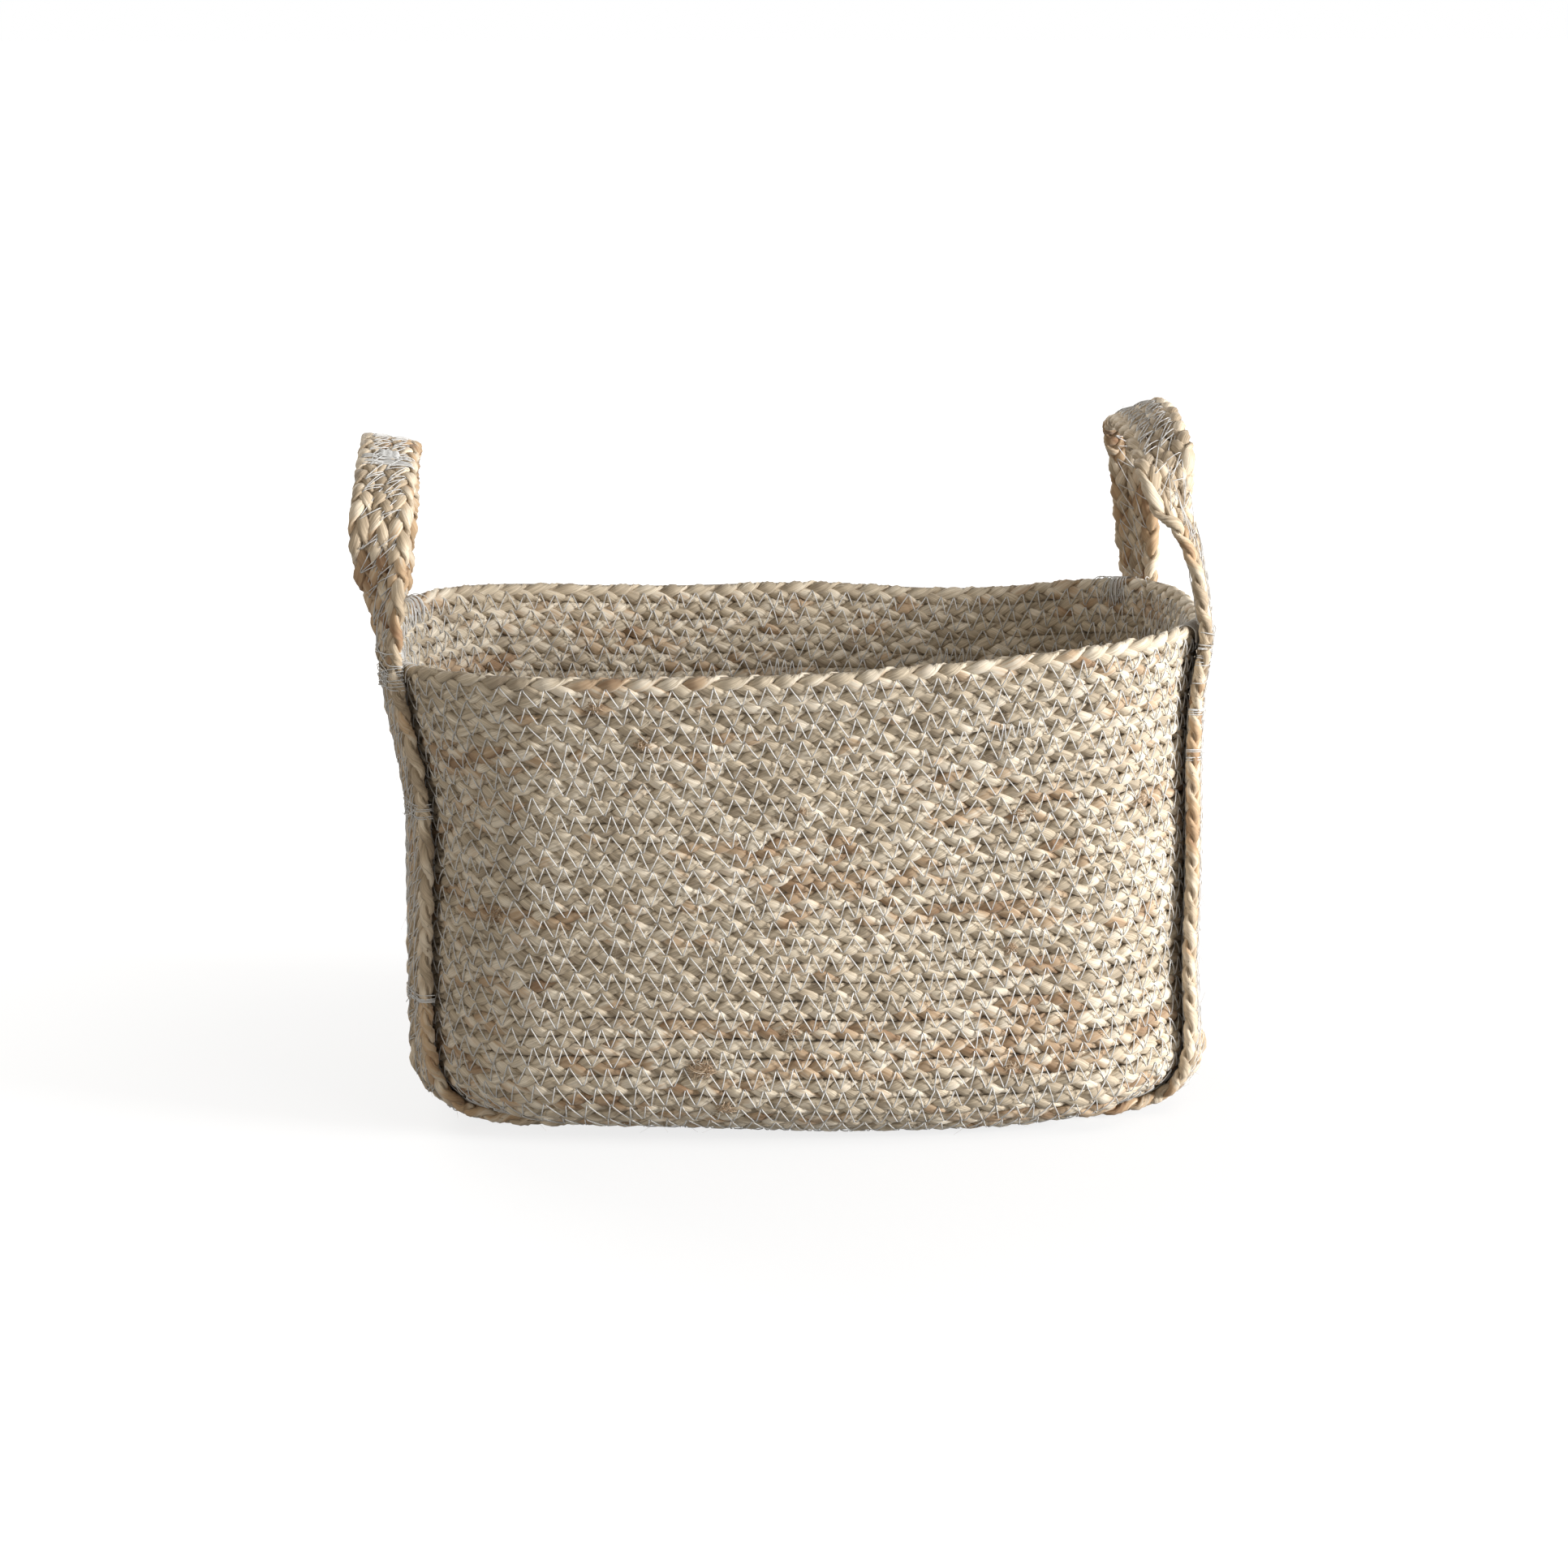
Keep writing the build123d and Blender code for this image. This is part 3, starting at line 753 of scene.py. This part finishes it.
def rim_wraps(tubes, course, end, side, rng):
    """Threads that tack a strap to the rim, fanned out over its top and down its inside."""
    y = side * (STRAP_PLACE + FOOT_SPREAD.get((end, side), 0.0))
    there = np.where(np.sign(course.points[:, 0]) == end, np.abs(course.points[:, 1] - y), 9.0)
    ring = int(np.argmin(there))
    point, along, up, out = course.points[ring], course.along[ring], course.up[ring], course.out[ring]
    for _ in range(22):
        c = rng.normal(0, 0.0065)
        fan = rng.uniform(1.0, 1.5)
        slip = rng.normal(0, 0.0012)
        path = ((-0.0030, 0.0052, 0.8), (0.0035, 0.0046, 0.85),
                (0.0054, 0.0015, 0.95), (0.0052, -0.0018, 1.0),
                (0.0028, -0.0039, 1.1 * fan), (-0.0025, -0.0040, 1.3 * fan), (-0.0075, -0.0026, 1.5 * fan))
        line = [point + up * (a + slip * (a < 0)) + out * b + along * (c * k + slip) for a, b, k in path]
        thin_tube(tubes, smooth_line(line, 3), THREAD * 0.8, 1, sides=4, rng=rng)


def smooth_line(points, parts):
    """Rounds a line off by inserting points between its own."""
    points = np.array(points)
    for _ in range(parts - 1):
        middle = points[:-1] * 0.5 + points[1:] * 0.5
        cut = np.empty((2 * len(middle) + 1, 3))
        cut[0], cut[-1] = points[0], points[-1]
        cut[1::2] = middle
        cut[2:-1:2] = 0.5 * points[1:-1] + 0.25 * (middle[:-1] + middle[1:])
        points = cut
    return points


# --- the carrying band: two straps and two handles in one loop ----------------------------
def smooth_loop(controls, normals, step):
    """Closed smooth curve through control points, evenly resampled, with its normals."""
    controls, normals = np.array(controls), np.array(normals)
    n = len(controls)
    fine, fine_n = [], []
    for i in range(n):
        p = [controls[(i + k) % n] for k in (-1, 0, 1, 2)]
        q = [normals[(i + k) % n] for k in (0, 1)]
        gap = [max(np.linalg.norm(p[k + 1] - p[k]), 1e-6) ** 0.5 for k in range(3)]
        t = np.linspace(0, 1, 40, endpoint=False)[:, None]
        m1 = (p[1] - p[0]) / gap[0] - (p[2] - p[0]) / (gap[0] + gap[1]) + (p[2] - p[1]) / gap[1]
        m2 = (p[2] - p[1]) / gap[1] - (p[3] - p[1]) / (gap[1] + gap[2]) + (p[3] - p[2]) / gap[2]
        m1, m2 = m1 * gap[1], m2 * gap[1]
        fine.append((2 * t ** 3 - 3 * t ** 2 + 1) * p[1] + (t ** 3 - 2 * t ** 2 + t) * m1
                    + (-2 * t ** 3 + 3 * t ** 2) * p[2] + (t ** 3 - t ** 2) * m2)
        blend = t * t * (3 - 2 * t)
        fine_n.append(q[0] * (1 - blend) + q[1] * blend)
    fine, fine_n = np.concatenate(fine), unit(np.concatenate(fine_n))
    gaps = np.linalg.norm(np.roll(fine, -1, 0) - fine, axis=1)
    length = gaps.sum()
    s = np.concatenate([[0], np.cumsum(gaps)])
    at = np.arange(int(round(length / step))) / round(length / step) * length
    closed = np.vstack([fine, fine[:1]])
    closed_n = np.vstack([fine_n, fine_n[:1]])
    points = np.stack([np.interp(at, s, closed[:, k]) for k in range(3)], 1)
    out = np.stack([np.interp(at, s, closed_n[:, k]) for k in range(3)], 1)
    return points, unit(out), length


STRAP_STAND = THICK / 2 + 0.0010               # middle of a strap outside the wall's face

# Each leg of a handle, from the strap up: (height above the rim, how far it stands out, how far
# the band has turned from lying along the rim, 0, to facing the front or the back, 1).
HANDLES = {
    -1: {"edge_on": 7, "tilt": 10, "top": (0.0900, 0.1845),
         "front": ((0.014, 0.0, 0.06), (0.030, 0.0015, 0.26),
                   (0.047, 0.0032, 0.62), (0.063, 0.0032, 0.95)),
         "back": ((0.014, 0.0, 0.08), (0.030, 0.0015, 0.30),
                  (0.047, 0.0030, 0.66), (0.063, 0.0030, 0.95))},
    1: {"edge_on": 12, "tilt": 21, "top": (0.0895, 0.1645),
        "front": ((0.014, -0.0015, 0.0), (0.032, -0.0045, 0.02),
                  (0.050, -0.0110, 0.15), (0.068, -0.0185, 0.62)),
        "back": ((0.014, -0.0010, 0.20), (0.030, -0.0020, 0.28),
                 (0.047, -0.0025, 0.42), (0.066, -0.0030, 0.74))},
}
FOOT_SPREAD = {(1, 1): 0.014}                  # the rear right leg meets the rim nearer the back


def leg_controls(end, side):
    """Control points and outsides of the band from under the base to the top of a handle."""
    shape = HANDLES[end]
    spread = FOOT_SPREAD.get((end, side), 0.0)
    down = np.array([0.0, 0.0, -1.0])
    points, normals = [], []

    def add(x, y, z, normal):
        points.append(np.array([x, y, z]))
        normals.append(unit(np.array(normal, float)))
    under = THICK / 2 + 0.0008                 # the threads on its underside stay above the floor
    for x in (0.045, 0.100, 0.132):
        add(x, side * (STRAP_PLACE - 0.002), under, down)
    foot, normal = wall_point(side * STRAP_PLACE, 0.05, STRAP_STAND)
    bend = 0.033
    for angle in (25, 50, 75):
        a = math.radians(angle)
        out = normal * math.sin(a) + down * math.cos(a)
        point = foot + normal * bend * (math.sin(a) - 1)
        add(point[0], point[1], under + bend * (1 - math.cos(a)), out)
    turned = -side * math.radians(shape["edge_on"])
    for z in (0.045, 0.070, 0.10, 0.132, 0.16, 0.188, 0.212):
        across = STRAP_PLACE + spread * float(smooth_step(np.array(z), 0.08, 0.20))
        point, normal = wall_point(side * across, z, STRAP_STAND)
        normal = np.array([normal[0] * math.cos(turned) - normal[1] * math.sin(turned),
                           normal[0] * math.sin(turned) + normal[1] * math.cos(turned), 0.0])
        add(point[0], point[1], z, normal)
    rim = points[-1]
    facing = np.array([0.0, float(side), 0.0])
    for rise, out, turn in shape["front" if side < 0 else "back"]:
        add(rim[0] + out, rim[1] * (1 + 0.02 * turn), rim[2] + rise, normal * (1 - turn) + facing * turn)
    rise, top_x = shape["top"]
    top = np.array([top_x, 0.0, rim[2] + rise])
    leg = points[-1]
    lean = math.radians(shape["tilt"])
    for part in (0.33, 0.68, 0.97):
        a = part * math.pi / 2
        y = leg[1] * math.cos(a) if part < 0.9 else leg[1] * 0.12
        z = leg[2] + (top[2] - leg[2]) * math.sin(a)
        x = leg[0] + (top[0] - leg[0]) * math.sin(a)
        add(x, y, z, (-math.sin(lean) * math.sin(a), side * math.cos(a), math.cos(lean) * math.sin(a)))
    mirror = np.array([end, 1, 1])
    return np.array(points) * mirror, np.array(normals) * mirror


def band_course():
    """The whole carrying band as one closed course."""
    points, normals = [], []
    for end in (1, -1):
        front, front_n = leg_controls(end, -1)
        back, back_n = leg_controls(end, 1)
        there, there_n = np.vstack([front, back[::-1]]), np.vstack([front_n, back_n[::-1]])
        if end < 0:
            there, there_n = there[::-1], there_n[::-1]
        points.append(there)
        normals.append(there_n)
    points = soften(np.vstack(points))
    line, out, length = smooth_loop(points, np.vstack(normals), STEP)
    return Course(line, out, length, True)


def beside(course, offset):
    """The same course moved across its width."""
    return Course(course.points + course.up * offset, course.out, course.length, True)


def band_spans(course):
    """Which rings belong to each strap and each handle."""
    x, y, z = course.points.T
    split = RIM.z - 0.001 + np.where(x > 0, 0.003, -0.003)
    above = z > split
    return {"front_strap": (~above) & (y < 0), "rear_strap": (~above) & (y > 0),
            "left_handle": above & (x < 0), "right_handle": above & (x > 0)}


def ring_span(mask):
    """The rings of a mask in order along the loop, with one more at each end to meet the next span."""
    n = len(mask)
    start = int(np.where(mask & ~np.roll(mask, 1))[0][0])
    count = int(mask.sum())
    return (start - 1 + np.arange(count + 2)) % n


def build_band():
    course = band_course()
    spans = {name: ring_span(mask) for name, mask in band_spans(course).items()}
    places = ("inner", "middle", "outer")
    lines = [beside(course, (k - 1) * STRAP_PITCH) for k in range(3)]
    for name, span in spans.items():
        for k, place in enumerate(places):
            tubes = Tubes()
            rng = np.random.default_rng(500 + k)
            braid(tubes, lines[k], rng, STRAP_PITCH, STRAP_LOBES, STRAP_TAN, span, 0.3 * k)
            filling(tubes, lines[k], rng, STRAP_PITCH * 0.9, span)
            rng = np.random.default_rng(550 + k + len(name))
            hairs(tubes, lines[k], rng, int(HAIRS_PER_METRE * len(span) * STEP), STRAP_PITCH, span)
            if k:
                for side in (1, -1):
                    for layer in range(2 if side > 0 else 1):
                        seed = np.random.default_rng(600 + 4 * k + side + 10 * layer)
                        band_zigzag(tubes, lines[k - 1], lines[k], seed, side, span, layer)
            if name == "left_handle" and place == "middle":
                sewn_join(tubes, course)
            piece = finish_piece(tubes, f"{name}_{place}_plait", [f"{name}_{place}_braid"],
                                 [STRAP_FIBRE, THREAD_GREY],
                                 None if "handle" in name else "basket")
            if "handle" in name:
                bend_at_rim(piece)
    return course


def cross_turn(course, ring, shift, slant, reach, depth):
    """One turn of thread over the outside of the band, with its ends sunk beside it."""
    point, along, up, out = course.points[ring], course.along[ring], course.up[ring], course.out[ring]
    high = THICK * 0.52 + depth
    path = ((-1.06, -0.003), (-1.0, 0.0012), (-0.88, high - 0.0004), (-0.5, high),
            (-0.34, high - 0.0006), (0.0, high), (0.34, high - 0.0006),
            (0.5, high), (0.88, high - 0.0004), (1.0, 0.0012), (1.06, -0.003))
    line = [point + up * u * reach + along * (shift + slant * u) + out * d for u, d in path]
    return smooth_line(line, 2)


def ring_at(course, end, side, z):
    """The ring of the band on one leg at a height."""
    x, y, height = course.points.T
    wrong = (np.sign(x) != end) | (np.sign(y) != side)
    return int(np.argmin(np.abs(height - z) + wrong * 9.0))


def build_ties(course):
    """Turns of thread that hold the straps: once at the rim and twice down the wall on each leg."""
    for node, levels in (("rim_tack_threads", RIM_TACKS), ("strap_tie_threads", STRAP_TIES)):
        tubes = Tubes()
        rng = np.random.default_rng(len(node))
        for (end, side), heights in levels.items():
            for z in heights:
                ring = ring_at(course, end, side, z)
                turns = 11 if "rim" in node else 6
                spread = 0.0038 if "rim" in node else 0.0017
                for _ in range(turns):
                    shift = rng.normal(0, spread)
                    slant = rng.normal(0, 0.0035 if "rim" in node else 0.0012)
                    depth = rng.uniform(0, 0.0005)
                    line = cross_turn(course, ring, shift, slant, STRAP_PITCH * 1.5, depth)
                    thin_tube(tubes, line, THREAD * 0.85, 0, sides=4, rng=rng)
                for _ in range(3):
                    loose_end(tubes, course, ring, side, rng)
        finish_piece(tubes, node.replace("threads", "stitches"), [node], [THREAD_GREY])


def loose_end(tubes, course, ring, side, rng):
    """A cut thread that hangs from a tie."""
    point, along, up, out = course.points[ring], course.along[ring], course.up[ring], course.out[ring]
    start = point + up * rng.uniform(-1.3, 1.3) * STRAP_PITCH + out * THICK * 0.5
    start = start + along * rng.normal(0, 0.002)
    way = up * rng.normal(0, 0.7) + out * rng.uniform(0, 0.5) + np.array([0, 0, -1.3])
    bend = along * rng.normal(0, 0.5) + up * rng.normal(0, 1)
    t = np.linspace(0, 1, 7)[:, None]
    length = rng.uniform(0.003, 0.008)
    line = start + (way * t + bend * 0.6 * t ** 2) * length / 1.5
    thin_tube(tubes, line, THREAD * 0.6, 0, sides=4, rng=rng)


def sewn_join(tubes, course):
    """The darned patch and the whipped seam where the band is joined, high on the left handle."""
    rng = np.random.default_rng(77)
    ring = ring_at(course, -1, -1, JOIN_LEVEL)
    for number in range(16):
        shift, slant = (number - 7.5) * 0.00042, rng.normal(0, 0.0003)
        line = cross_turn(course, ring, shift, slant, 0.0050, 0.0006)
        thin_tube(tubes, line, THREAD, 1, sides=4, rng=rng)
    step = round(0.0075 / (course.length / len(course.points)))
    for number in range(9):
        shift, slant = (number - 4) * 0.0011, rng.normal(0, 0.0018)
        line = cross_turn(course, ring + step, shift, slant, STRAP_PITCH * 1.4, 0.0003)
        thin_tube(tubes, line, THREAD, 1, sides=4, rng=rng)


def band_zigzag(tubes, low, high, rng, side, span, layer):
    """The zigzag thread between two strap braids, over one span of the band."""
    count = round(low.length / BAND_STITCH)
    steps = rng.uniform(0.7, 1.3, count)
    starts = np.cumsum(steps) / steps.sum() * low.length
    reach = rng.uniform(-0.12, 0.12, 2 * count)
    shown = np.zeros(len(low.points), bool)
    shown[span[1:-1]] = True
    high_out = THICK * (0.50 + 0.03 * layer)
    run = []
    for k in range(2 * count + 1):
        at = (k // 2) % count
        s = starts[at] - (0.5 if k % 2 else 0.0) * steps[at] / steps.sum() * low.length
        ring = int(s % low.length / low.length * len(low.points)) % len(low.points)
        if k < 2 * count and shown[ring]:
            course = high if k % 2 else low
            toward = 1 if course is low else -1
            point = course.points[ring] + course.up[ring] * toward * reach[k] * STRAP_PITCH
            run.append((point, course.out[ring] * side))
            continue
        if len(run) > 1:
            line = []
            for (a, a_out), (b, b_out) in zip(run, run[1:]):
                for part, height in ((0.0, -0.0012), (0.15, 0.0), (0.5, 0.0004), (0.85, 0.0)):
                    out = a_out * (1 - part) + b_out * part
                    line.append(a * (1 - part) + b * part + out * (high_out + height))
            thin_tube(tubes, np.array(line), THREAD * 0.75, 1, rng=rng)
        run = []


def bend_at_rim(piece):
    """Bakes the handle's placement into its mesh."""
    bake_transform(piece)


# ---------------------------------------------------------------------------------------
# Stage, light and camera
# ---------------------------------------------------------------------------------------
def area_light(name, place, aim, size, power, colour=(1, 1, 1)):
    data = bpy.data.lights.new(name, "AREA")
    data.shape = "RECTANGLE"
    data.size, data.size_y = size
    data.energy = power
    data.color = colour
    lamp = bpy.data.objects.new(name, data)
    bpy.context.scene.collection.objects.link(lamp)
    lamp.location = place
    lamp.rotation_euler = (Vector(aim) - Vector(place)).to_track_quat("-Z", "Y").to_euler()


def build_stage():
    mesh = bpy.data.meshes.new("floor")
    size = 30.0
    square = [(-size, -size, 0), (size, -size, 0), (size, size, 0), (-size, size, 0)]
    mesh.from_pydata(square, [], [(0, 1, 2, 3)])
    floor = bpy.data.objects.new("floor", mesh)
    bpy.context.scene.collection.objects.link(floor)
    material, nodes, links, shader = new_material("pale_floor")
    shader.inputs["Base Color"].default_value = (0.16, 0.16, 0.16, 1)
    shader.inputs["Roughness"].default_value = 0.9
    shader.inputs["Emission Color"].default_value = (1, 1, 1, 1)
    ray = nodes.new("ShaderNodeLightPath")
    place = nodes.new("ShaderNodeNewGeometry")
    away = nodes.new("ShaderNodeVectorMath")
    away.operation = "LENGTH"
    links.new(place.outputs["Position"], away.inputs[0])
    # seen by the camera, the floor glows less near the middle: a painted shadow round the basket
    far = math_node(nodes, links, "MULTIPLY_ADD", away.outputs["Value"], 0.20, 0.60)
    far = math_node(nodes, links, "MINIMUM", far, 0.85)
    glow = math_node(nodes, links, "MULTIPLY_ADD", ray.outputs["Is Camera Ray"], far, 0.17)
    links.new(glow, shader.inputs["Emission Strength"])
    mesh.materials.append(material)
    world = bpy.data.worlds.new("studio")
    bpy.context.scene.world = world
    world.use_nodes = True
    nodes, links = world.node_tree.nodes, world.node_tree.links
    light = nodes["Background"]
    light.inputs["Color"].default_value = (1, 0.94, 0.85, 1)
    light.inputs["Strength"].default_value = 0.20
    shown = nodes.new("ShaderNodeBackground")
    shown.inputs["Color"].default_value = (1, 1, 1, 1)
    shown.inputs["Strength"].default_value = 1.0
    mix = nodes.new("ShaderNodeMixShader")
    ray = nodes.new("ShaderNodeLightPath")
    links.new(ray.outputs["Is Camera Ray"], mix.inputs["Fac"])
    links.new(light.outputs["Background"], mix.inputs[1])
    links.new(shown.outputs["Background"], mix.inputs[2])
    links.new(mix.outputs["Shader"], nodes["World Output"].inputs["Surface"])
    area_light("key", (2.45, -1.05, 0.62), (0, 0, 0.12), (0.8, 0.9), 135)
    area_light("top", (0.9, -0.9, 2.4), (0, 0, 0.1), (1.2, 1.2), 15)
    area_light("back", (-1.2, 2.4, 1.2), (0, 0, 0.1), (1.6, 1.6), 42, (1.0, 0.97, 0.92))
    area_light("fill", (-1.7, -2.0, 0.55), (0, 0, 0.1), (0.5, 0.5), 15, (1.0, 0.95, 0.87))


def build_camera():
    turn, rise = math.radians(CAMERA_TURN), math.radians(CAMERA_RISE)
    back = Vector((math.sin(turn) * math.cos(rise), -math.cos(turn) * math.cos(rise), math.sin(rise)))
    data = bpy.data.cameras.new("camera")
    data.sensor_width = 36
    data.lens = 18 / math.tan(math.radians(CAMERA_VIEW) / 2)
    data.clip_end = 100
    camera = bpy.data.objects.new("camera", data)
    bpy.context.scene.collection.objects.link(camera)
    camera.location = CAMERA_AIM + back * CAMERA_AWAY
    camera.rotation_euler = (-back).to_track_quat("-Z", "Y").to_euler()
    bpy.context.scene.camera = camera
    bpy.context.scene.view_settings.view_transform = "Standard"


build_body()
build_ties(build_band())
build_stage()
build_camera()
